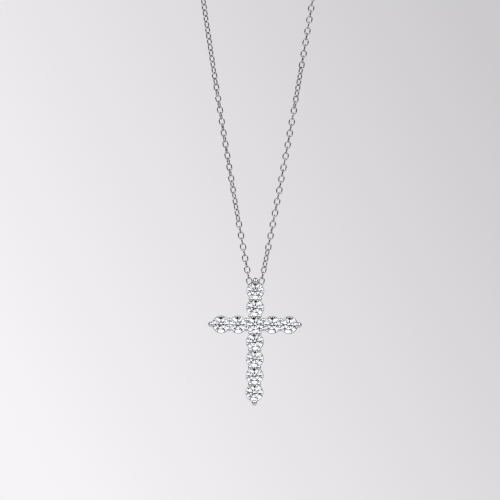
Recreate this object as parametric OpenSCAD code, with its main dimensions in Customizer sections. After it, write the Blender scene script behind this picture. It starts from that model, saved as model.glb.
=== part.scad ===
// Cross pendant of eleven round stones, hanging free on its fine chain.
// Frame: +X right, -Y towards the viewer, +Z up, origin at the clasp where the loop hangs.
// The stones and the setting are drawn lying face up (x right, y up, z towards the viewer)
// and are stood up by upright().

/* [Stones] */
// Diameter of every stone at its girdle
stone_d = 3; // [2.6:0.1:3.4]
// Gap between the girdles of two neighbouring stones
stone_gap = 0.1; // [0.06:0.02:0.2]
// Thickness of the girdle where the main facets meet it
girdle_t = 0.1; // [0.08:0.01:0.14]
// Width of the table as a share of the stone's diameter
table_share = 0.56; // [0.52:0.01:0.62]
// Slope of the eight main crown facets, in degrees
crown_angle = 34.5; // [32:0.5:36]
// Slope of the eight main pavilion facets, in degrees
pavilion_angle = 40.8; // [40:0.2:42]
// Reach of the star facets from the table edge towards the girdle, as a share
star_share = 0.5; // [0.4:0.05:0.6]
// Reach of the lower girdle facets from the girdle towards the point, as a share
lower_share = 0.77; // [0.7:0.01:0.85]

/* [Setting] */
// Gap between a stone and the metal that holds it
seat_clearance = 0.03; // [0.02:0.01:0.04]
// How far the rings of two neighbours run into each other
ring_overlap = 0.1; // [0.08:0.02:0.16]
// Radial width of the seat rings
seat_ring_w = 0.35; // [0.3:0.05:0.45]
// Height of the seat rings
seat_ring_h = 0.3; // [0.25:0.05:0.35]
// Height of the open band between the seat rings and the base rings
open_band_h = 0.84; // [0.8:0.02:1]
// Radial width of the base rings
base_ring_w = 0.5; // [0.4:0.05:0.6]
// Height of the base rings
base_ring_h = 0.6; // [0.5:0.05:0.7]
// How much wider the base rings' holes are at the back than at the front, on the radius
base_bevel = 0.15; // [0.1:0.01:0.2]
// Diameter of the upright claw wires
claw_d = 0.68; // [0.6:0.02:0.74]
// Diameter of the round bead on each claw
bead_d = 0.8; // [0.76:0.02:0.88]
// Distance of the bead centres outside the girdle
bead_out = 0.25; // [0.22:0.01:0.3]
// Height of the bead centres above the middle of the girdle
bead_rise = 0.1; // [0.06:0.02:0.16]
// Distance of the claws' feet in front of the base's back face
claw_foot = 0.05; // [0.04:0.01:0.1]
// Distance of the four end claws' wires outside the girdle
end_claw_out = 0.42; // [0.4:0.01:0.5]
// How far the end claws' beads sit inwards from their wires
end_bead_inset = 0.15; // [0.1:0.01:0.18]
// Extra diameter of the end claws' tips and beads
end_claw_extra = 0.2; // [0.1:0.02:0.24]
// Width of the webs that join the end claws to the rings, as a share of the wire's diameter
web_share = 0.75; // [0.6:0.05:0.85]

/* [Eyelets] */
// Place of the hinge line in the open band, as a share of the band from its front
hinge_share = 0.44; // [0.42:0.01:0.5]
// Distance of each eyelet from the upright's middle line
eyelet_side = 1; // [0.95:0.05:1.1]
// Diameter of the eyelet's hole
eyelet_hole_d = 0.52; // [0.48:0.02:0.6]
// Diameter of the eyelet's wire
eyelet_wire_d = 0.2; // [0.18:0.02:0.22]
// Gap between the hanging link and the top of the eyelet's hole
eyelet_play = 0.03; // [0.02:0.01:0.04]

/* [Chain] */
// Length of the whole loop, with its clasp
loop_length = 457; // [420:1:510]
// Diameter of the chain's round wire
wire_d = 0.21; // [0.19:0.01:0.23]
// Outside width of a link
link_w = 1.13; // [1.05:0.01:1.2]
// Outside length of a link
link_l = 1.49; // [1.4:0.01:1.6]
// Lean of each strand from the vertical at the pendant, in degrees
strand_lean = 11; // [10:0.5:13]
// Length of chain that weighs as much as half of the pendant
ballast_length = 205; // [180:5:240]
// Gap between a hanging link and the covered stretch of chain above it
chain_gap = 0.05; // [0.03:0.01:0.1]

/* [Clasp] */
// Outside diameter of the ring clasp
clasp_d = 5.5; // [5:0.1:6]
// Diameter of the clasp's tube
clasp_tube_d = 1.1; // [1:0.05:1.3]
// Outside diameter of the clasp's two end eyes
eye_d = 1.4; // [1.3:0.05:1.5]
// Diameter of the end eyes' wire
eye_wire_d = 0.3; // [0.26:0.02:0.34]

/* [Hidden] */
// Sides of the circles, and of those of the fine wires
$fn = 48;
WIRE_FN = 24;

// Each stone: its name, its steps to the right and its steps up from the crossing
STONES = [
    ["stone_crossing", 0, 0],
    ["stone_above_1", 0, 1],
    ["stone_above_2", 0, 2],
    ["stone_below_1", 0, -1],
    ["stone_below_2", 0, -2],
    ["stone_below_3", 0, -3],
    ["stone_below_4", 0, -4],
    ["stone_left_1", -1, 0],
    ["stone_left_2", -2, 0],
    ["stone_right_1", 1, 0],
    ["stone_right_2", 2, 0],
];
// Each end of the cross: its stone's steps right and up, and the way out in degrees
ENDS = [
    [0, 2, 90],
    [0, -4, -90],
    [-2, 0, 180],
    [2, 0, 0],
];
METAL = [0.86, 0.86, 0.88];
STONE = [0.94, 0.96, 0.98];

// Stone: radii and heights of its facet corners, from the middle of the girdle
FACETS = 8;
STEP = 360 / FACETS;
HALF = STEP / 2;
QUARTER = STEP / 4;
stone_r = stone_d / 2;
pitch = stone_d + stone_gap;
girdle_z = girdle_t / 2;
table_r = table_share * stone_r;
table_z = girdle_z + (stone_r - table_r) * tan(crown_angle);
table_edge_r = table_r * cos(HALF);
star_r = table_edge_r + star_share * (stone_r - table_edge_r);
star_z = girdle_z + (stone_r - star_r * cos(HALF)) * tan(crown_angle);
culet_z = -girdle_z - stone_r * tan(pavilion_angle);
lower_r = (1 - lower_share) * stone_r;
lower_z = -girdle_z - (stone_r - lower_r * cos(HALF)) * tan(pavilion_angle);
// Slopes of the facets that meet the girdle, and how far each dips between its corners
upper_slope = (star_z - girdle_z) / (stone_r - star_r);
lower_slope = (-girdle_z - lower_z) / (stone_r - lower_r);
dip_share = (1 - cos(QUARTER)) / cos(QUARTER);
upper_dip = stone_r * dip_share * upper_slope;
lower_dip = stone_r * dip_share * lower_slope;

// Setting: rings below the girdle, claws between the stones
ring_r = (pitch + ring_overlap) / 2;
seat_ring_in_r = ring_r - seat_ring_w;
base_ring_in_r = ring_r - base_ring_w;
seat_front = -girdle_z;
seat_back = seat_front - seat_ring_h;
base_front = seat_back - open_band_h;
base_back = base_front - base_ring_h;
foot_z = base_back + claw_foot;
claw_side = sqrt(pow(stone_r + bead_out, 2) - pow(pitch / 2, 2));
web_w = web_share * claw_d;
tip_d = claw_d + end_claw_extra;
end_bead_out = end_claw_out - end_bead_inset;
end_bead_d = bead_d + end_claw_extra;

// Eyelets: rings on edge, sunk into the back of the top stone's seat ring
hinge_depth = -seat_back + hinge_share * open_band_h;
eyelet_mid_r = (eyelet_hole_d + eyelet_wire_d) / 2;
eyelet_up = sqrt(pow(ring_r - seat_ring_w / 2, 2) - pow(eyelet_side, 2));
hinge_up = 2 * pitch + eyelet_up + (eyelet_hole_d - wire_d) / 2 - eyelet_play;

// Chain: a link's middle line is two half circles of link_bend joined by link_straight
link_bend = (link_w - wire_d) / 2;
link_straight = link_l - link_w;
link_reach = link_l - wire_d / 2;

// Clasp: the middle of its ring and how far out its two eyes sit
clasp_mid_r = (clasp_d - clasp_tube_d) / 2;
eye_mid_r = (eye_d - eye_wire_d) / 2;
eye_x = clasp_d / 2 + eye_d / 2 - eye_wire_d;

// A free strand hangs in a catenary whose lowest stretch is replaced by the pendant's weight.
// s is the length of strand from the pendant up.
strand_c = ballast_length * tan(strand_lean);
function asinh(u) = ln(u + sqrt(u * u + 1));
function strand_x(s) =
    eyelet_side + strand_c * (asinh((ballast_length + s) / strand_c) - asinh(ballast_length / strand_c));
function strand_z(s) =
    sqrt(pow(strand_c, 2) + pow(ballast_length + s, 2)) - sqrt(pow(strand_c, 2) + pow(ballast_length, 2));
function lean_at(s) = atan(strand_c / (ballast_length + s));
// The round top of the loop touches both strands, and ends at the clasp's eyes
function bend_r(s) = strand_x(s) / cos(lean_at(s));
function bend_turn(s) = 90 + lean_at(s) - asin(eye_x / bend_r(s));
function half_loop(s) = s + bend_r(s) * bend_turn(s) * PI / 180 + eye_x;
function solve_strand(low, high, left) =
    left < 1 ? (low + high) / 2
    : half_loop((low + high) / 2) < loop_length / 2
        ? solve_strand((low + high) / 2, high, left - 1)
        : solve_strand(low, (low + high) / 2, left - 1);
// The strand's length is found by halving the half loop this many times
HALVINGS = 40;
strand_l = solve_strand(0, loop_length / 2, HALVINGS);
top_r = bend_r(strand_l);
top_lean = lean_at(strand_l);
top_turn = bend_turn(strand_l);
top_z = -sqrt(pow(top_r, 2) - pow(eye_x, 2));
hinge_z = top_z - top_r * sin(top_lean) - strand_z(strand_l);
crossing_z = hinge_z - hinge_up;
// Point and direction on the right strand, at turn degrees round the top and at length s
function strand_at(s) = [strand_x(s), hinge_z + strand_z(s), 90 - lean_at(s)];
function top_at(turn) =
    [top_r * cos(turn - top_lean), top_z + top_r * sin(turn - top_lean), 90 + turn - top_lean];
// Rings of the covered chain: few along the strand, more round the top
STRAND_RINGS = 14;
TOP_RINGS = 26;
SIDES = 8;
cover_start = link_reach + chain_gap;
cover_turn = top_turn - (eye_d / 2 + chain_gap) / top_r * 180 / PI;
COVER = concat(
    [for (i = [0:STRAND_RINGS - 1])
        strand_at(cover_start + (strand_l - cover_start) * i / STRAND_RINGS)],
    [for (i = [0:TOP_RINGS - 1]) top_at(cover_turn * i / (TOP_RINGS - 1))]);

module upright() translate([0, -hinge_depth, crossing_z]) rotate([90, 0, 0]) children();

module at_stone(steps_right, steps_up)
    translate([steps_right * pitch, steps_up * pitch, 0]) children();

// A round brilliant: table, 8 stars, 8 kites, 16 upper and 16 lower girdle facets, 8 mains
module brilliant() {
    function around(r, first, step, count, z) =
        [for (i = [0:count - 1]) [r * cos(first + step * i), r * sin(first + step * i), z]];
    function rim(z, dip) =
        [for (i = [0:4 * FACETS - 1])
            [stone_r * cos(QUARTER * i), stone_r * sin(QUARTER * i), z - (i % 2) * dip]];
    rim_n = 4 * FACETS;
    table_i = 0;
    star_i = FACETS;
    upper_i = 2 * FACETS;
    under_i = upper_i + rim_n;
    lower_i = under_i + rim_n;
    culet_i = lower_i + FACETS;
    points = concat(
        around(table_r, 0, STEP, FACETS, table_z),
        around(star_r, HALF, STEP, FACETS, star_z),
        rim(girdle_z, upper_dip),
        rim(-girdle_z, -lower_dip),
        around(lower_r, HALF, STEP, FACETS, lower_z),
        [[0, 0, culet_z]]);
    function u(i) = upper_i + (i + rim_n) % rim_n;
    function v(i) = under_i + (i + rim_n) % rim_n;
    faces = concat(
        [[for (k = [FACETS - 1:-1:0]) table_i + k]],
        [for (k = [0:FACETS - 1]) let (n = (k + 1) % FACETS, p = (k + FACETS - 1) % FACETS, e = 4 * k)
            each [
                [table_i + k, table_i + n, star_i + k],
                [table_i + k, star_i + k, u(e), star_i + p],
                [star_i + k, u(e + 1), u(e)],
                [star_i + k, u(e + 2), u(e + 1)],
                [star_i + k, u(e + 3), u(e + 2)],
                [star_i + k, u(e + 4), u(e + 3)],
                [lower_i + k, v(e), v(e + 1)],
                [lower_i + k, v(e + 1), v(e + 2)],
                [lower_i + k, v(e + 2), v(e + 3)],
                [lower_i + k, v(e + 3), v(e + 4)],
                [culet_i, lower_i + p, v(e), lower_i + k],
            ]],
        [for (i = [0:rim_n - 1]) [u(i), u(i + 1), v(i + 1), v(i)]]);
    polyhedron(points, faces, convexity = 2);
}

module stone(name) {
    place = [for (s = STONES) if (s[0] == name) s][0];
    color(STONE) upright() at_stone(place[1], place[2]) brilliant();
}

// The room cut for one stone: its cones grown by the clearance
module stone_room() {
    wide = stone_r + seat_clearance;
    crown_turn = atan(upper_slope);
    crown_z = girdle_z + seat_clearance * (1 / cos(crown_turn) - tan(crown_turn));
    pavilion_turn = atan(lower_slope);
    pavilion_z = -girdle_z - seat_clearance * (1 / cos(pavilion_turn) - tan(pavilion_turn));
    rotate_extrude()
        polygon([
            [0, pavilion_z - wide * lower_slope],
            [wide, pavilion_z],
            [wide, crown_z],
            [star_r, crown_z + (wide - star_r) * upper_slope],
            [table_r, table_z + 2 * seat_clearance],
            [0, table_z + 2 * seat_clearance],
        ]);
}

// One layer of rings, front face at z = front, with round or tapered holes
module ring_layer(front, height, hole_front_r, hole_back_r) {
    spare = height / 2;
    flare = (hole_front_r - hole_back_r) / 2;
    difference() {
        translate([0, 0, front - height])
            linear_extrude(height)
                for (s = STONES) at_stone(s[1], s[2]) circle(ring_r);
        for (s = STONES)
            at_stone(s[1], s[2])
                translate([0, 0, front - height - spare])
                    cylinder(r1 = hole_back_r - flare, r2 = hole_front_r + flare, h = height + 2 * spare);
    }
}

// An upright claw wire with a bead on its tip
module claw() {
    translate([0, 0, foot_z]) cylinder(d = claw_d, h = bead_rise - foot_z);
    translate([0, 0, bead_rise]) sphere(d = bead_d);
}

// Two claws in every gap between neighbours, one on each side of the row
module shared_claws() {
    for (a = STONES, b = STONES) {
        right = b[1] - a[1];
        up = b[2] - a[2];
        if ((right == 1 && up == 0) || (right == 0 && up == 1))
            for (side = [-1, 1])
                translate([
                    (a[1] + right / 2) * pitch + side * up * claw_side,
                    (a[2] + up / 2) * pitch + side * right * claw_side,
                    0])
                    claw();
    }
}

// The single claw at the end of an arm: a wire outside the rings, webs, and a bead bent inwards
module end_claw() {
    wire_x = stone_r + end_claw_out;
    translate([wire_x, 0, foot_z]) cylinder(d = claw_d, h = -foot_z);
    translate([wire_x, 0, 0]) sphere(d = tip_d);
    translate([stone_r + end_bead_out, 0, bead_rise]) sphere(d = end_bead_d);
    for (layer = [[seat_back, seat_ring_h, seat_ring_w], [base_back, base_ring_h, base_ring_w]])
        translate([ring_r - layer[2] / 2, -web_w / 2, layer[0]])
            cube([wire_x - ring_r + layer[2] / 2, web_w, layer[1]]);
}

module eyelet() rotate([0, 90, 0]) rotate_extrude() translate([eyelet_mid_r, 0]) circle(d = eyelet_wire_d);

module setting() {
    color(METAL)
        upright()
            difference() {
                union() {
                    ring_layer(seat_front, seat_ring_h, seat_ring_in_r, seat_ring_in_r);
                    ring_layer(base_front, base_ring_h, base_ring_in_r, base_ring_in_r + base_bevel);
                    shared_claws();
                    for (e = ENDS) at_stone(e[0], e[1]) rotate([0, 0, e[2]]) end_claw();
                    for (side = [-1, 1])
                        translate([side * eyelet_side, 2 * pitch + eyelet_up, -hinge_depth]) eyelet();
                }
                for (s = STONES) at_stone(s[1], s[2]) stone_room();
            }
}

// Half of a link's end: a half ring that opens towards +Z
module link_end()
    rotate([90, 0, 0])
        rotate_extrude(angle = 180)
            translate([link_bend, 0]) circle(d = wire_d, $fn = WIRE_FN);

// A chain link standing on the middle of its lowest wire, in the XZ plane
module link() {
    translate([0, 0, link_bend]) {
        rotate([0, 180, 0]) link_end();
        for (side = [-1, 1])
            translate([side * link_bend, 0, 0]) cylinder(d = wire_d, h = link_straight, $fn = WIRE_FN);
        translate([0, 0, link_straight]) link_end();
    }
}

module end_link(side)
    color(METAL)
        translate([side * eyelet_side, 0, hinge_z]) rotate([0, side * strand_lean, 0]) link();

// The envelope of one half of the chain, swept along COVER
module covered_chain(side) {
    rings = len(COVER);
    points = [for (c = COVER, k = [0:SIDES - 1])
        let (out = link_w / 2 * cos(360 / SIDES * k), y = link_w / 2 * sin(360 / SIDES * k))
        [side * (c[0] + out * sin(c[2])), y, c[1] - out * cos(c[2])]];
    function flip(face) = side > 0 ? face : [for (i = [len(face) - 1:-1:0]) face[i]];
    faces = concat(
        [flip([for (k = [0:SIDES - 1]) k])],
        [flip([for (k = [SIDES - 1:-1:0]) (rings - 1) * SIDES + k])],
        [for (r = [0:rings - 2], k = [0:SIDES - 1]) let (n = (k + 1) % SIDES)
            each [
                flip([r * SIDES + k, (r + 1) * SIDES + k, (r + 1) * SIDES + n]),
                flip([r * SIDES + k, (r + 1) * SIDES + n, r * SIDES + n]),
            ]]);
    color(METAL) polyhedron(points, faces, convexity = 4);
}

module clasp() {
    color(METAL)
        rotate([0, 0, 90]) {
            rotate_extrude() translate([clasp_mid_r, 0]) circle(d = clasp_tube_d);
            for (side = [-1, 1])
                translate([0, side * eye_x, 0])
                    rotate_extrude() translate([eye_mid_r, 0]) circle(d = eye_wire_d);
        }
}

setting();
stone("stone_crossing");  // stone_crossing
stone("stone_above_1");  // stone_above_1
stone("stone_above_2");  // stone_above_2
stone("stone_below_1");  // stone_below_1
stone("stone_below_2");  // stone_below_2
stone("stone_below_3");  // stone_below_3
stone("stone_below_4");  // stone_below_4
stone("stone_left_1");  // stone_left_1
stone("stone_left_2");  // stone_left_2
stone("stone_right_1");  // stone_right_1
stone("stone_right_2");  // stone_right_2
end_link(-1);  // end_link_left
end_link(1);  // end_link_right
covered_chain(-1);  // chain_left
covered_chain(1);  // chain_right
clasp();
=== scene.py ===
"""The looks of the cross pendant: its stones, its chain link by link, its metal and its studio.

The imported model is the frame. Lengths are in metres: +X is right, -Y is towards the viewer and +Z is up.
The loop hangs from its clasp at the origin, and the cross swings on the last links of the two strands.
"""

import logging
import math
import random
from dataclasses import dataclass
from enum import Enum
from functools import cached_property

import bpy
import numpy as np
from mathutils import Matrix, Quaternion, Vector


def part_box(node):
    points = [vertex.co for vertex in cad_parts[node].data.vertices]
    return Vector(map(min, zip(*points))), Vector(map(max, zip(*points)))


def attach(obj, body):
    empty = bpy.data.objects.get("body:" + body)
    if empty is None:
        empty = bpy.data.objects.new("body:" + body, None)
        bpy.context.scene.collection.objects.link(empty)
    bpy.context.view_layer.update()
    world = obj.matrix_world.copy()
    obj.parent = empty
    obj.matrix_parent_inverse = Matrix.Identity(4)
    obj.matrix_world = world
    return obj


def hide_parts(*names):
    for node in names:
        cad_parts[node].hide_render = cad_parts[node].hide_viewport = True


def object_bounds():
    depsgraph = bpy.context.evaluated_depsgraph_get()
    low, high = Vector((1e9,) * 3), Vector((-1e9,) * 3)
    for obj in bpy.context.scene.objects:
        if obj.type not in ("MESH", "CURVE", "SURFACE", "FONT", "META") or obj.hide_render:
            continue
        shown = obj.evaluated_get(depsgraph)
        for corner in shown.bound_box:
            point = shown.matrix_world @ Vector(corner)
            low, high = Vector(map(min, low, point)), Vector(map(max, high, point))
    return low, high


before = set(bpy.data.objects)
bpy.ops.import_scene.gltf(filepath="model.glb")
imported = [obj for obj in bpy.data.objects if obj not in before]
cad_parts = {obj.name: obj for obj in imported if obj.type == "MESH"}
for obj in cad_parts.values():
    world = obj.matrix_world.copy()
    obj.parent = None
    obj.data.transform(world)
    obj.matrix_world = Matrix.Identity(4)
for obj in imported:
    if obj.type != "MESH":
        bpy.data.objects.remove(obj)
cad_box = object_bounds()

log = logging.getLogger("cross_pendant")

MM = 0.001
Color = tuple[float, float, float, float]


class Body(Enum):
    """The two bodies of the frame."""

    CHAIN = "chain"
    PENDANT = "pendant"


class Slot(Enum):
    """The names of the record's material slots."""

    CHAIN = "chain_silver"
    STONE = "clear_stone"


class Side(Enum):
    """The two halves of the loop, as the sign of their x."""

    LEFT = -1
    RIGHT = 1

    @property
    def word(self) -> str:
        """The side's name in node names."""
        return self.name.lower()


class Blended(Enum):
    """What a blend mixes: the node's data type, and the ending of its sockets' identifiers."""

    COLOR = ("RGBA", "Color")
    VALUE = ("FLOAT", "Float")


def direction(azimuth: float, elevation: float) -> Vector:
    """Finds a direction from the object.

    Args:
        azimuth: degrees round the object: 0 is the viewer's side and 90 the right.
        elevation: degrees above the level.

    Returns:
        The unit direction.
    """
    turn, rise = math.radians(azimuth), math.radians(elevation)
    return Vector((math.sin(turn) * math.cos(rise), -math.cos(turn) * math.cos(rise), math.sin(rise)))


class Graph:
    """A node tree, and short calls that add nodes to it and wire them."""

    def __init__(self, tree: bpy.types.ShaderNodeTree) -> None:
        """Takes the tree that gets the nodes."""
        self.tree = tree

    def feed(self, target: bpy.types.NodeSocket, value: object) -> None:
        """Gives an input its value, or wires it.

        Args:
            target: the input.
            value: the value, or the socket that gives it.
        """
        if isinstance(value, bpy.types.NodeSocket):
            self.tree.links.new(value, target)
        else:
            target.default_value = value

    def feed_all(self, node: bpy.types.Node, inputs: dict[str, object]) -> None:
        """Feeds a node's inputs, each by its name with underscores for spaces."""
        for name, value in inputs.items():
            self.feed(node.inputs[name.replace("_", " ")], value)

    def node(self, kind: str, **inputs: object) -> bpy.types.Node:
        """Adds a node and feeds its inputs.

        Args:
            kind: the node's type in bpy.types.
            inputs: what each input gets, by its name with underscores for spaces.

        Returns:
            The new node.
        """
        made = self.tree.nodes.new(kind)
        self.feed_all(made, inputs)
        return made

    def math(self, operation: str, first: object, second: object) -> bpy.types.NodeSocket:
        """Adds a sum, product or the like of two values.

        Args:
            operation: what the node does.
            first: the first value, or the socket that gives it.
            second: the second value, or the socket that gives it.

        Returns:
            The result.
        """
        made = self.tree.nodes.new("ShaderNodeMath")
        made.operation = operation
        self.feed(made.inputs[0], first)
        self.feed(made.inputs[1], second)
        return made.outputs["Value"]

    def dot(
        self, place: bpy.types.NodeSocket, vector: Vector | tuple[float, float, float]
    ) -> bpy.types.NodeSocket:
        """Adds the dot product of two vectors.

        Args:
            place: gives the one.
            vector: the other, which is fixed.

        Returns:
            The product.
        """
        made = self.tree.nodes.new("ShaderNodeVectorMath")
        made.operation = "DOT_PRODUCT"
        self.feed(made.inputs[0], place)
        self.feed(made.inputs[1], vector)
        return made.outputs["Value"]

    def noise(
        self, place: bpy.types.NodeSocket, size: bpy.types.NodeSocket, detail: float
    ) -> bpy.types.NodeSocket:
        """Adds a noise.

        Args:
            place: gives the place on the object.
            size: gives the size of the noise's marks.
            detail: how many finer layers it has.

        Returns:
            The noise, from 0 to 1.
        """
        scale = self.math("DIVIDE", 1.0, size)
        return self.node("ShaderNodeTexNoise", Vector=place, Scale=scale, Detail=detail).outputs["Fac"]

    def smooth_ramp(self, value: bpy.types.NodeSocket, **ends: float) -> bpy.types.NodeSocket:
        """Adds a ramp that eases in and out.

        Args:
            value: gives the place on the ramp.
            ends: the ramp's ends, by input name with underscores for spaces.

        Returns:
            The ramp's result.
        """
        ramp = self.node("ShaderNodeMapRange", Value=value, **ends)
        ramp.interpolation_type = "SMOOTHSTEP"
        return ramp.outputs["Result"]

    def blend(
        self, share: bpy.types.NodeSocket, first: object, second: object, kind: Blended = Blended.COLOR
    ) -> bpy.types.NodeSocket:
        """Blends two colours or two values.

        Args:
            share: gives 0 for the first and 1 for the second.
            first: the first, or the socket that gives it.
            second: the second, or the socket that gives it.
            kind: what is blended.

        Returns:
            The blend.
        """
        data_type, ending = kind.value
        mix = self.tree.nodes.new("ShaderNodeMix")
        mix.data_type = data_type
        parts = {"Factor_Float": share, f"A_{ending}": first, f"B_{ending}": second}
        for target in mix.inputs:
            if target.identifier in parts:
                self.feed(target, parts[target.identifier])
        return next(result for result in mix.outputs if result.identifier == f"Result_{ending}")

    def soft_rays(self, rays: bpy.types.Node) -> bpy.types.NodeSocket:
        """Masks the rays that come out of a stone or off a matt surface, from a Light Path node."""
        return self.math("MAXIMUM", rays.outputs["Is Transmission Ray"], rays.outputs["Is Diffuse Ray"])


class Shader(Graph):
    """A material: its nodes and its Principled shader."""

    def __init__(self, name: str) -> None:
        """Makes the material with its Principled shader.

        Args:
            name: the material's name.
        """
        self.material = bpy.data.materials.new(name)
        self.material.use_nodes = True
        super().__init__(self.material.node_tree)
        self.principled = self.tree.nodes["Principled BSDF"]

    def set(self, **inputs: object) -> None:
        """Feeds the Principled shader's inputs, each by its name with underscores for spaces."""
        self.feed_all(self.principled, inputs)


@dataclass(frozen=True)
class PolishMarks:
    """The node group of a polished surface: soft smudges (on the chain, painted shade and glints) and fine
    buffing lines.
    """

    name: str = "polish_marks"
    smudge_detail: float = 2.0
    line_detail: float = 3.0
    line_stretch: float = 6.0

    @cached_property
    def group(self) -> bpy.types.ShaderNodeTree:
        """Builds the group, once.

        Returns:
            The group, whose outputs Smudge, Lines and Tone each run from 0 to 1.
        """
        graph = Graph(bpy.data.node_groups.new(self.name, "ShaderNodeTree"))
        for name in ("Smudge Size", "Line Size"):
            graph.tree.interface.new_socket(name, in_out="INPUT", socket_type="NodeSocketFloat")
        for name in ("Smudge", "Lines", "Tone"):
            graph.tree.interface.new_socket(name, in_out="OUTPUT", socket_type="NodeSocketFloat")
        sizes = graph.node("NodeGroupInput").outputs
        place = graph.node("ShaderNodeTexCoord").outputs["Object"]
        stretch = graph.node("ShaderNodeMapping", Vector=place, Scale=(1.0, 1.0, self.line_stretch))
        smudge = graph.noise(place, sizes["Smudge Size"], self.smudge_detail)
        lines = graph.noise(stretch.outputs["Vector"], sizes["Line Size"], self.line_detail)
        tone = graph.math("MULTIPLY", smudge, lines)
        graph.node("NodeGroupOutput", Smudge=smudge, Lines=lines, Tone=tone)
        return graph.tree

    def add_to(self, shader: Shader, smudge_size: float, line_size: float) -> bpy.types.NodeOutputs:
        """Adds the marks to a material.

        Args:
            shader: the material.
            smudge_size: the size of the smudges.
            line_size: the width of the buffing lines.

        Returns:
            The group's outputs.
        """
        marks = shader.node("ShaderNodeGroup")
        marks.node_tree = self.group
        shader.feed_all(marks, {"Smudge Size": smudge_size, "Line Size": line_size})
        return marks.outputs


POLISH = PolishMarks()


@dataclass(frozen=True)
class SilverFinish:
    """Polished white metal with buffing and handling marks; on the chain its smudges are also painted shade
    and glints.
    """

    name: str
    light: Color
    dark: Color
    smudge_size: float
    line_size: float
    line_depth: float = 0.004 * MM
    line_strength: float = 0.15
    roughness: tuple[float, float] = (0.04, 0.12)

    @cached_property
    def material(self) -> bpy.types.Material:
        """Makes the metal, once.

        Returns:
            The finished metal.
        """
        shader = Shader(self.name)
        marks = POLISH.add_to(shader, self.smudge_size, self.line_size)
        smooth, dull = self.roughness
        gloss = shader.node("ShaderNodeMapRange", Value=marks["Tone"], To_Min=smooth, To_Max=dull)
        bump = shader.node(
            "ShaderNodeBump", Height=marks["Lines"], Strength=self.line_strength, Distance=self.line_depth
        )
        # The smudges blend the dark and light colour; on the chain this paints shade and glints along the
        # links.
        shader.set(
            Base_Color=shader.blend(marks["Smudge"], self.dark, self.light),
            Metallic=1.0,
            Roughness=gloss.outputs["Result"],
            Normal=bump.outputs["Normal"],
        )
        return shader.material


@dataclass(frozen=True)
class StoneFinish:
    """A clear, colourless stone: bright facets, or the fine ground band of its girdle."""

    name: str
    light: Color
    dark: Color
    roughness: float
    cloud_size: float
    ior: float = 2.2

    @cached_property
    def material(self) -> bpy.types.Material:
        """Makes the stone, once.

        Returns:
            The finished stone.
        """
        shader = Shader(self.name)
        marks = POLISH.add_to(shader, self.cloud_size, self.cloud_size)
        shader.set(
            Base_Color=shader.blend(marks["Smudge"], self.dark, self.light),
            Roughness=self.roughness,
            IOR=self.ior,
            Transmission_Weight=1.0,
        )
        return shader.material


SETTING_SILVER = SilverFinish(
    name="setting_silver",
    light=(0.92, 0.92, 0.94, 1.0),
    dark=(0.78, 0.78, 0.81, 1.0),
    smudge_size=0.9 * MM,
    line_size=0.12 * MM,
)
# Painted shade and glints: this silver is far darker than the setting's, and its smudges run from a dark to
# a light colour, which paints dark stretches and glints along the links.
CHAIN_SILVER_PAINTED_SHADE = SilverFinish(
    name="chain_silver",
    light=(0.80, 0.80, 0.81, 1.0),
    dark=(0.25, 0.25, 0.27, 1.0),
    smudge_size=1.4 * MM,
    line_size=0.1 * MM,
)
STONE_FACETS = StoneFinish(
    name="stone_facets",
    light=(1.0, 1.0, 1.0, 1.0),
    dark=(0.97, 0.985, 1.0, 1.0),
    roughness=0.0,
    cloud_size=0.7 * MM,
)
STONE_GIRDLE = StoneFinish(
    name="stone_girdle",
    light=(1.0, 1.0, 1.0, 1.0),
    dark=(0.94, 0.95, 0.96, 1.0),
    roughness=0.35,
    cloud_size=0.05 * MM,
)


def dress(node: str, finish: SilverFinish) -> None:
    """Gives a CAD node that stays its finish.

    Args:
        node: the CAD node's name.
        finish: the metal it is made of.
    """
    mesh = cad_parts[node].data
    mesh.materials.clear()
    mesh.materials.append(finish.material)
    log.info("%s: dressed in %s", node, finish.name)


def add_piece(name: str, mesh: bpy.types.Mesh, body: Body, replaced: str) -> bpy.types.Object:
    """Puts a finished mesh in the scene as the piece that stands for a CAD node.

    Args:
        name: the piece's name.
        mesh: its mesh, in the frame's own place.
        body: the body that it moves with.
        replaced: the CAD node that it stands for.

    Returns:
        The new object.
    """
    piece = bpy.data.objects.new(name, mesh)
    bpy.context.scene.collection.objects.link(piece)
    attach(piece, body.value)
    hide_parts(replaced)
    log.info("%s: %d faces, for %s", name, len(mesh.polygons), replaced)
    return piece


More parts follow.
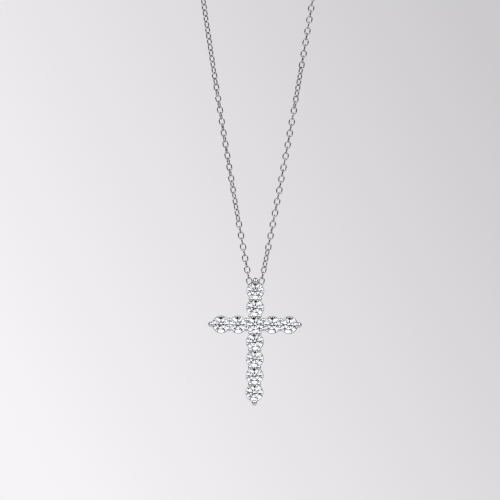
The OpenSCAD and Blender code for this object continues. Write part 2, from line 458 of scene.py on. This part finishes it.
@dataclass(frozen=True)
class LoopRoute:
    """Middle line of one half of the hanging loop, from the eyelet to the clasp.

    The strand hangs in a catenary whose lowest stretch is replaced by the pendant's weight. The round top of
    the loop touches it and ends at the clasp's eye.
    """

    eyelet_side: float = 1.0 * MM
    lean: float = math.radians(11)
    ballast_length: float = 205 * MM
    loop_length: float = 457 * MM
    eye_x: float = 3.15 * MM
    halvings: int = 40

    @cached_property
    def pull(self) -> float:
        """The catenary's own length: its sideways pull in lengths of chain."""
        return self.ballast_length * math.tan(self.lean)

    def strand_x(self, run: float) -> float:
        """How far out the strand is at a length from the pendant."""
        low, high = self.ballast_length / self.pull, (self.ballast_length + run) / self.pull
        return self.eyelet_side + self.pull * (math.asinh(high) - math.asinh(low))

    def strand_z(self, run: float) -> float:
        """How far above the hinge the strand is at a length from the pendant."""
        return math.hypot(self.pull, self.ballast_length + run) - math.hypot(self.pull, self.ballast_length)

    def lean_at(self, run: float) -> float:
        """The strand's lean from the vertical at a length from the pendant."""
        return math.atan(self.pull / (self.ballast_length + run))

    def bend_r(self, run: float) -> float:
        """Radius of the round top that touches the strand at a length from the pendant."""
        return self.strand_x(run) / math.cos(self.lean_at(run))

    def bend_turn(self, run: float) -> float:
        """Angle of the round top from the strand to the clasp's eye."""
        return math.pi / 2 + self.lean_at(run) - math.asin(self.eye_x / self.bend_r(run))

    @cached_property
    def strand_length(self) -> float:
        """Finds the strand's length by halving.

        Returns:
            The length at which the whole loop has its own.
        """
        low, high = 0.0, self.loop_length / 2
        for _ in range(self.halvings):
            middle = (low + high) / 2
            half_loop = middle + self.bend_r(middle) * self.bend_turn(middle) + self.eye_x
            low, high = (middle, high) if half_loop < self.loop_length / 2 else (low, middle)
        return (low + high) / 2

    @cached_property
    def top_r(self) -> float:
        """Radius of the loop's round top."""
        return self.bend_r(self.strand_length)

    @cached_property
    def top_z(self) -> float:
        """Height of the round top's centre."""
        return -math.sqrt(self.top_r**2 - self.eye_x**2)

    @cached_property
    def hinge_z(self) -> float:
        """Height of the hinge line at the eyelets."""
        top_lean = self.lean_at(self.strand_length)
        return self.top_z - self.top_r * math.sin(top_lean) - self.strand_z(self.strand_length)

    @cached_property
    def length(self) -> float:
        """Length from the hinge to the middle of the clasp's eye."""
        return self.strand_length + self.top_r * self.bend_turn(self.strand_length)

    def at(self, run: float) -> tuple[Vector, Vector]:
        """Finds a place on the right half.

        Args:
            run: the length from the hinge.

        Returns:
            The point, and the unit direction towards the clasp.
        """
        if run <= self.strand_length:
            angle = math.pi / 2 - self.lean_at(run)
            point = Vector((self.strand_x(run), 0.0, self.hinge_z + self.strand_z(run)))
        else:
            turn = (run - self.strand_length) / self.top_r - self.lean_at(self.strand_length)
            angle = math.pi / 2 + turn
            point = Vector((self.top_r * math.cos(turn), 0.0, self.top_z + self.top_r * math.sin(turn)))
        return point, Vector((math.cos(angle), 0.0, math.sin(angle)))


@dataclass(frozen=True)
class CableLink:
    """One soldered oval link of round wire, standing along +Z in the XZ plane about its middle."""

    wire_d: float = 0.21 * MM
    width: float = 1.13 * MM
    length: float = 1.48 * MM
    sides: int = 12
    bend_steps: int = 15
    solder_swell: float = 0.08
    solder_reach: float = 0.07 * MM

    @property
    def pitch(self) -> float:
        """Distance from link to link on a taut chain."""
        return self.length - 2 * self.wire_d

    @property
    def reach(self) -> float:
        """Distance between the middles of the link's two end wires."""
        return self.length - self.wire_d

    def rings(self) -> list[tuple[Vector, Vector, float]]:
        """Lists the wire's rings.

        Returns:
            The middle, the outward direction and the radius of each ring.
        """
        bend = (self.width - self.wire_d) / 2
        half_straight = (self.length - self.width) / 2
        radius = self.wire_d / 2
        out = Vector((1.0, 0.0, 0.0))
        made = [
            (Vector((bend, 0.0, place * self.solder_reach)), out, radius * (1 + swell * self.solder_swell))
            for place, swell in ((-1, 0), (0, 1), (1, 0))
        ]
        for start, middle in ((0.0, half_straight), (math.pi, -half_straight)):
            for step in range(self.bend_steps + 1):
                angle = start + math.pi * step / self.bend_steps
                out = Vector((math.cos(angle), 0.0, math.sin(angle)))
                made.append((Vector((0.0, 0.0, middle)) + bend * out, out, radius))
        return made

    def arrays(self) -> tuple[np.ndarray, np.ndarray]:
        """Builds the link's mesh.

        Returns:
            Its points, and the corner numbers of its four-sided faces.
        """
        rings = self.rings()
        turns = [2 * math.pi * side / self.sides for side in range(self.sides)]
        points = [
            middle + radius * (math.cos(turn) * out + Vector((0.0, math.sin(turn), 0.0)))
            for middle, out, radius in rings
            for turn in turns
        ]
        faces = []
        for ring in range(len(rings)):
            above = (ring + 1) % len(rings)
            for side in range(self.sides):
                beside = (side + 1) % self.sides
                corners = ((ring, side), (ring, beside), (above, beside), (above, side))
                faces.append([row * self.sides + column for row, column in corners])
        return np.array([tuple(point) for point in points]), np.array(faces)


@dataclass(frozen=True)
class StrandTwist:
    """How a strand's links turn about its line.

    Each key is a length from the pendant in mm and the turn there in degrees.
    """

    keys: tuple[tuple[float, float], ...]

    def at(self, run: float) -> float:
        """Finds the twist, easing in and out of each key.

        Args:
            run: the length from the pendant.

        Returns:
            The turn in radians.
        """
        turn = self.keys[0][1]
        for (low, low_turn), (high, high_turn) in zip(self.keys, self.keys[1:]):
            share = min(1.0, max(0.0, (run / MM - low) / (high - low)))
            turn += (high_turn - low_turn) * share * share * (3 - 2 * share)
        return math.radians(turn)


@dataclass(frozen=True)
class CableChain:
    """The chain, link by link, from the pendant's end links to the clasp's eyes."""

    route: LoopRoute
    link: CableLink
    finish: SilverFinish
    eye_reach: float = 0.295 * MM
    left_twist: StrandTwist = StrandTwist(
        ((9.5, 0), (13, 45), (20, 20), (33, 20), (40, 45), (48, 45), (90, 90))
    )
    right_twist: StrandTwist = StrandTwist(
        ((0.5, 0), (2.5, 45), (4.5, 45), (7, 0), (31, 0), (35, 45), (38, 45), (43, 0), (60, 0), (100, 90))
    )
    roll_play: float = math.radians(6)
    tilt_play: float = math.radians(1.5)
    seed: int = 7

    @property
    def span(self) -> float:
        """Length from the end link's lower wire to the last link's, on each side."""
        return self.route.length - self.eye_reach - self.link.reach

    @property
    def count(self) -> int:
        """Links on each side above its end link."""
        return int(self.span / self.link.pitch)

    def placing(self, side: Side, number: int, chance: random.Random) -> Matrix:
        """Places one link on its strand.

        Args:
            side: the half of the loop.
            number: the link's number, counted from the end link.
            chance: the source of each link's own small turn.

        Returns:
            The matrix that takes the link from its own middle to its place.
        """
        pitch = self.span / self.count
        point, along = self.route.at(number * pitch + self.link.reach / 2)
        twist = self.left_twist if side is Side.LEFT else self.right_twist
        loose = 0.0 if number == self.count else 1.0
        roll = number * math.pi / 2 + twist.at(number * pitch)
        roll += loose * chance.uniform(-self.roll_play, self.roll_play)
        tilt = loose * chance.uniform(-self.tilt_play, self.tilt_play)
        point.x *= side.value
        along.x *= side.value
        stand = Vector((0.0, 0.0, 1.0)).rotation_difference(along)
        turn = Quaternion((0.0, 0.0, 1.0), roll) @ Quaternion((0.0, 1.0, 0.0), tilt)
        return Matrix.Translation(point) @ (stand @ turn).to_matrix().to_4x4()

    def build(self, side: Side) -> bpy.types.Object:
        """Builds and dresses one half of the chain.

        Args:
            side: the half of the loop.

        Returns:
            The piece that stands for that half's envelope.
        """
        chance = random.Random(self.seed + side.value)
        points, faces = self.link.arrays()
        all_points, all_faces = [], []
        for number in range(1, self.count + 1):
            placing = np.array(self.placing(side, number, chance))
            all_faces.append(faces + len(points) * (number - 1))
            all_points.append(points @ placing[:3, :3].T + placing[:3, 3])
        mesh = bpy.data.meshes.new(f"links_{side.word}")
        mesh.from_pydata(np.concatenate(all_points).tolist(), [], np.concatenate(all_faces).tolist())
        mesh.shade_smooth()
        mesh.materials.append(self.finish.material)
        name = f"chain_links_{side.word}"
        return add_piece(name, mesh, Body.CHAIN, f"chain_{side.word}")


@dataclass(frozen=True)
class RoundBrilliant:
    """A round brilliant: a table, 8 stars, 8 kites, 16 upper and 16 lower girdle facets, 8 mains."""

    diameter: float = 3.0 * MM
    girdle: float = 0.1 * MM
    table_share: float = 0.56
    crown_angle: float = math.radians(34.5)
    pavilion_angle: float = math.radians(40.8)
    star_share: float = 0.5
    lower_share: float = 0.77
    mains: int = 8
    edges_per_main: int = 4

    @property
    def rim_count(self) -> int:
        """Corners on each rim of the girdle."""
        return self.edges_per_main * self.mains

    @property
    def table_height(self) -> float:
        """Height of the table above the middle of the girdle."""
        crown = (1 - self.table_share) * self.diameter / 2 * math.tan(self.crown_angle)
        return self.girdle / 2 + crown

    def ring(self, radius: float, z: float, count: int, first: float) -> list[Vector]:
        """Lists points on a circle.

        Args:
            radius: its radius.
            z: its height.
            count: the number of points.
            first: the angle of the first.

        Returns:
            The points, counterclockwise seen from the table.
        """
        turns = [first + 2 * math.pi * number / count for number in range(count)]
        return [Vector((radius * math.cos(turn), radius * math.sin(turn), z)) for turn in turns]

    def points(self) -> list[Vector]:
        """Lists the facet corners.

        Returns:
            The corners of the table, stars, upper rim, lower rim and lower facets, and the culet.
        """
        radius, half_main = self.diameter / 2, math.pi / self.mains
        table_r = self.table_share * radius
        edge_r = table_r * math.cos(half_main)
        star_r = edge_r + self.star_share * (radius - edge_r)
        lower_r = (1 - self.lower_share) * radius
        rim_z = self.girdle / 2
        star_z = rim_z + (radius - star_r * math.cos(half_main)) * math.tan(self.crown_angle)
        lower_z = -rim_z - (radius - lower_r * math.cos(half_main)) * math.tan(self.pavilion_angle)
        dip = radius * (1 - math.cos(half_main / 2)) / math.cos(half_main / 2)
        upper_dip = dip * (star_z - rim_z) / (radius - star_r)
        lower_dip = dip * (-rim_z - lower_z) / (radius - lower_r)
        upper = self.ring(radius, rim_z, self.rim_count, 0.0)
        under = self.ring(radius, -rim_z, self.rim_count, 0.0)
        for number in range(1, self.rim_count, 2):
            upper[number].z -= upper_dip
            under[number].z += lower_dip
        culet = Vector((0.0, 0.0, -rim_z - radius * math.tan(self.pavilion_angle)))
        table = self.ring(table_r, self.table_height, self.mains, 0.0)
        stars = self.ring(star_r, star_z, self.mains, half_main)
        lowers = self.ring(lower_r, lower_z, self.mains, half_main)
        return [*table, *stars, *upper, *under, *lowers, culet]

    def facets(self) -> tuple[list[tuple[int, ...]], list[tuple[int, ...]]]:
        """Lists the facets by corner numbers.

        Returns:
            The polished facets, and the bands of the girdle.
        """
        mains, rim = self.mains, self.rim_count
        star, upper = mains, 2 * mains
        under, lower = upper + rim, upper + 2 * rim
        culet = lower + mains
        polished: list[tuple[int, ...]] = [tuple(range(mains))]
        for main in range(mains):
            before, after = (main - 1) % mains, (main + 1) % mains
            corner = self.edges_per_main * main
            polished.append((after, main, star + main))
            polished.append((main, star + before, upper + corner, star + main))
            polished.append((culet, lower + main, under + corner, lower + before))
            for here in range(corner, corner + self.edges_per_main):
                beside = (here + 1) % rim
                polished.append((star + main, upper + here, upper + beside))
                polished.append((lower + main, under + beside, under + here))
        bands: list[tuple[int, ...]] = []
        for here in range(rim):
            beside = (here + 1) % rim
            bands.append((upper + here, under + here, under + beside, upper + beside))
        return polished, bands

    def mesh(self, name: str, placing: Matrix) -> bpy.types.Mesh:
        """Builds the stone with flat facets.

        Args:
            name: the mesh's name.
            placing: takes the stone from its own girdle to its seat.

        Returns:
            The mesh, with the facets' finish first and the girdle's second.
        """
        polished, bands = self.facets()
        mesh = bpy.data.meshes.new(name)
        mesh.from_pydata([placing @ point for point in self.points()], [], [*polished, *bands])
        mesh.materials.append(STONE_FACETS.material)
        mesh.materials.append(STONE_GIRDLE.material)
        for polygon in mesh.polygons:
            polygon.material_index = int(polygon.index >= len(polished))
        return mesh


@dataclass(frozen=True)
class CrossStones:
    """The stones of the cross, each turned a little in its seat as a setter leaves them."""

    stone: RoundBrilliant
    turn_play: float = math.radians(11)
    tilt_play: float = math.radians(0.7)
    seed: int = 21

    def build(self) -> list[bpy.types.Object]:
        """Builds every stone where its CAD node is.

        Returns:
            The pieces.
        """
        chance = random.Random(self.seed)
        face_viewer = Matrix.Rotation(math.pi / 2, 4, "X")
        made = []
        for node in sorted(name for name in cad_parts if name.startswith("stone_")):
            low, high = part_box(node)
            middle = (Vector(low) + Vector(high)) / 2
            seat = Vector((middle.x, low[1] + self.stone.table_height, middle.z))
            turn = Matrix.Rotation(chance.uniform(-self.turn_play, self.turn_play), 4, "Z")
            tilts = [chance.uniform(-self.tilt_play, self.tilt_play) for _ in range(2)]
            tilt = Matrix.Rotation(tilts[0], 4, "X") @ Matrix.Rotation(tilts[1], 4, "Y")
            placing = Matrix.Translation(seat) @ face_viewer @ tilt @ turn
            mesh = self.stone.mesh(f"brilliant_{node}", placing)
            made.append(add_piece(f"brilliant_{node}", mesh, Body.PENDANT, node))
        return made


@dataclass(frozen=True)
class Panel:
    """A soft bright or dark panel of the studio, as the object sees it, with its angles in degrees."""

    azimuth: float
    elevation: float
    half_angle: float
    softness: float
    strength: float

    def build(self, graph: Graph, place: bpy.types.NodeSocket) -> bpy.types.NodeSocket:
        """Adds the panel's nodes.

        Args:
            graph: the world's nodes.
            place: gives the direction.

        Returns:
            The light that the panel adds.
        """
        facing = graph.dot(place, direction(self.azimuth, self.elevation))
        outer = math.cos(math.radians(self.half_angle + self.softness))
        inner = math.cos(math.radians(self.half_angle - self.softness))
        return graph.smooth_ramp(facing, From_Min=outer, From_Max=inner, To_Max=self.strength)


@dataclass(frozen=True)
class Sky:
    """All the light of the studio, as one kind of surface sees it: a soft sky and its panels."""

    low: float
    high: float
    panels: tuple[Panel, ...]
    low_z: float = -0.2

    def build(self, graph: Graph, place: bpy.types.NodeSocket) -> bpy.types.NodeSocket:
        """Adds the sky's nodes.

        Args:
            graph: the world's nodes.
            place: gives the direction.

        Returns:
            The light's strength.
        """
        height = graph.node("ShaderNodeSeparateXYZ", Vector=place).outputs["Z"]
        light = graph.smooth_ramp(height, From_Min=self.low_z, To_Min=self.low, To_Max=self.high)
        for panel in self.panels:
            light = graph.math("ADD", light, panel.build(graph, place))
        return graph.math("MAXIMUM", light, 0.0)


@dataclass(frozen=True)
class Backdrop:
    """The plain pale backdrop that the camera sees, with painted shade that makes it a little darker towards
    the upper right.
    """

    pale: Color = (0.922, 0.904, 0.931, 1.0)
    # The dark colour is painted shade, blended in towards the upper right.
    dark: Color = (0.604, 0.592, 0.610, 1.0)
    span: tuple[float, float] = (-0.175, 0.1425)
    shade_slope: tuple[float, float, float] = (-1.397, 0.0, -0.819)

    def build(self, graph: Graph, place: bpy.types.NodeSocket) -> bpy.types.NodeSocket:
        """Adds the backdrop's nodes.

        Args:
            graph: the world's nodes.
            place: gives the direction.

        Returns:
            The backdrop's colour.
        """
        start, end = self.span
        across = graph.dot(place, self.shade_slope)
        share = graph.node("ShaderNodeMapRange", Value=across, From_Min=start, From_Max=end)
        return graph.blend(share.outputs["Result"], self.dark, self.pale)


@dataclass(frozen=True)
class Studio:
    """The soft light round the object.

    The metal mirrors two high softboxes in a dark room. The stones' inner rays and matt surfaces see a pale
    sky, which is dark round the camera but for one pale ring.
    """

    mirror_sky: Sky = Sky(low=0.02, high=0.05, panels=(
        Panel(azimuth=-45, elevation=38, half_angle=20, softness=4, strength=3.4),
        Panel(azimuth=45, elevation=38, half_angle=20, softness=4, strength=3.4),
        Panel(azimuth=180, elevation=10, half_angle=50, softness=20, strength=0.3),
    ))
    soft_sky: Sky = Sky(low=1.55, high=1.85, panels=(
        Panel(azimuth=1, elevation=-2, half_angle=64, softness=3, strength=-1.75),
        Panel(azimuth=1, elevation=-2, half_angle=31, softness=3, strength=1.3),
        Panel(azimuth=1, elevation=-2, half_angle=22, softness=3, strength=-1.3),
    ))
    light_color: Color = (0.98, 0.985, 1.0, 1.0)
    backdrop: Backdrop = Backdrop()

    def build(self) -> None:
        """Makes the light for the object, and the backdrop for the camera."""
        world = bpy.data.worlds.new("studio")
        bpy.context.scene.world = world
        world.use_nodes = True
        graph = Graph(world.node_tree)
        graph.tree.nodes.clear()
        place = graph.node("ShaderNodeTexCoord").outputs["Generated"]
        rays = graph.node("ShaderNodeLightPath")
        mirrored = self.mirror_sky.build(graph, place)
        soft = self.soft_sky.build(graph, place)
        strength = graph.blend(graph.soft_rays(rays), mirrored, soft, Blended.VALUE)
        light = graph.node("ShaderNodeBackground", Color=self.light_color, Strength=strength)
        backdrop = graph.node("ShaderNodeBackground", Color=self.backdrop.build(graph, place))
        mix = graph.node("ShaderNodeMixShader")
        parts = (rays.outputs["Is Camera Ray"], light.outputs["Background"], backdrop.outputs["Background"])
        for target, part in zip(mix.inputs, parts):
            graph.feed(target, part)
        graph.node("ShaderNodeOutputWorld", Surface=mix.outputs["Shader"])


@dataclass(frozen=True)
class Floor:
    """The pale floor well below the pendant: darker in mirrors, which is painted shade, and brighter through
    the stones, which is painted light.
    """

    dark: Color = (0.38, 0.375, 0.385, 1.0)
    light: Color = (0.42, 0.415, 0.425, 1.0)
    # Painted shade: the floor's tone in the metal's mirrors, darker than the floor, which darkens the
    # metal's undersides.
    mirrored: Color = (0.30, 0.30, 0.305, 1.0)
    # Painted light: the floor's tone to rays through the stones and off matt surfaces, far brighter than the
    # floor.
    painted_bounce_light: Color = (0.80, 0.80, 0.82, 1.0)
    roughness: float = 0.9
    grain_scale: float = 60.0
    grain_detail: float = 3.0
    drop: float = 70 * MM
    radius: float = 1.2
    sides: int = 96

    @cached_property
    def material(self) -> bpy.types.Material:
        """Makes the floor's paper, once.

        Returns:
            The finished paper.
        """
        shader = Shader("floor_paper")
        grain = shader.node("ShaderNodeTexNoise", Scale=self.grain_scale, Detail=self.grain_detail)
        rays = shader.node("ShaderNodeLightPath")
        seen = shader.blend(grain.outputs["Fac"], self.dark, self.light)
        # Painted shade in mirrors, and painted light through the stones and off matt surfaces.
        seen = shader.blend(rays.outputs["Is Glossy Ray"], seen, self.mirrored)
        seen = shader.blend(shader.soft_rays(rays), seen, self.painted_bounce_light)
        shader.set(Base_Color=seen, Roughness=self.roughness)
        return shader.material

    def build(self) -> bpy.types.Object:
        """Makes the floor.

        Returns:
            The floor.
        """
        z = cad_box[0][2] - self.drop
        turns = [2 * math.pi * side / self.sides for side in range(self.sides)]
        rim = [(self.radius * math.cos(turn), self.radius * math.sin(turn), z) for turn in turns]
        mesh = bpy.data.meshes.new("floor")
        mesh.from_pydata(rim, [], [tuple(range(self.sides))])
        mesh.materials.append(self.material)
        floor = bpy.data.objects.new("floor", mesh)
        bpy.context.scene.collection.objects.link(floor)
        log.info("floor: %.2f m below the clasp", -z)
        return floor


@dataclass(frozen=True)
class PhotoCamera:
    """The camera at the photograph's angle: nearly level, a little below, with a slight roll."""

    aim_x: float = -1.02 * MM
    aim_above_crossing: float = 13.6 * MM
    frame_width: float = 91.2 * MM
    distance: float = 0.55
    azimuth: float = 1.0
    elevation: float = -2.5
    roll: float = 0.5
    clip_start: float = 50 * MM

    def build(self) -> bpy.types.Object:
        """Makes the camera and takes it into use.

        Returns:
            The camera.
        """
        low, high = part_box("stone_crossing")
        aim = Vector((self.aim_x, low[1], (low[2] + high[2]) / 2 + self.aim_above_crossing))
        back = direction(self.azimuth, self.elevation)
        data = bpy.data.cameras.new("camera")
        data.lens = data.sensor_width * self.distance / self.frame_width
        data.clip_start = self.clip_start
        camera = bpy.data.objects.new("camera", data)
        camera.location = aim + back * self.distance
        look = (-back).to_track_quat("-Z", "Y")
        camera.rotation_mode = "QUATERNION"
        camera.rotation_quaternion = Quaternion(back, math.radians(self.roll)) @ look
        bpy.context.scene.collection.objects.link(camera)
        bpy.context.scene.camera = camera
        log.info("camera: %.0f mm lens at %.2f m", data.lens, self.distance)
        return camera


def write_sizes() -> None:
    """Updates the view layer."""
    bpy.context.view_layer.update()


def main() -> None:
    """Builds the camera, the studio, the chain and the pendant."""
    logging.basicConfig(level=logging.INFO, format="%(name)s: %(message)s")
    bpy.context.scene.view_settings.view_transform = "Standard"
    PhotoCamera().build()
    Studio().build()
    Floor().build()
    chain = CableChain(LoopRoute(), CableLink(), CHAIN_SILVER_PAINTED_SHADE)
    for side in Side:
        chain.build(side)
        dress(f"end_link_{side.word}", CHAIN_SILVER_PAINTED_SHADE)
    log.info("chain: %d links a side above the end link", chain.count)
    dress("clasp", CHAIN_SILVER_PAINTED_SHADE)
    dress("setting", SETTING_SILVER)
    CrossStones(RoundBrilliant()).build()
    write_sizes()


if __name__ == "__main__":
    main()
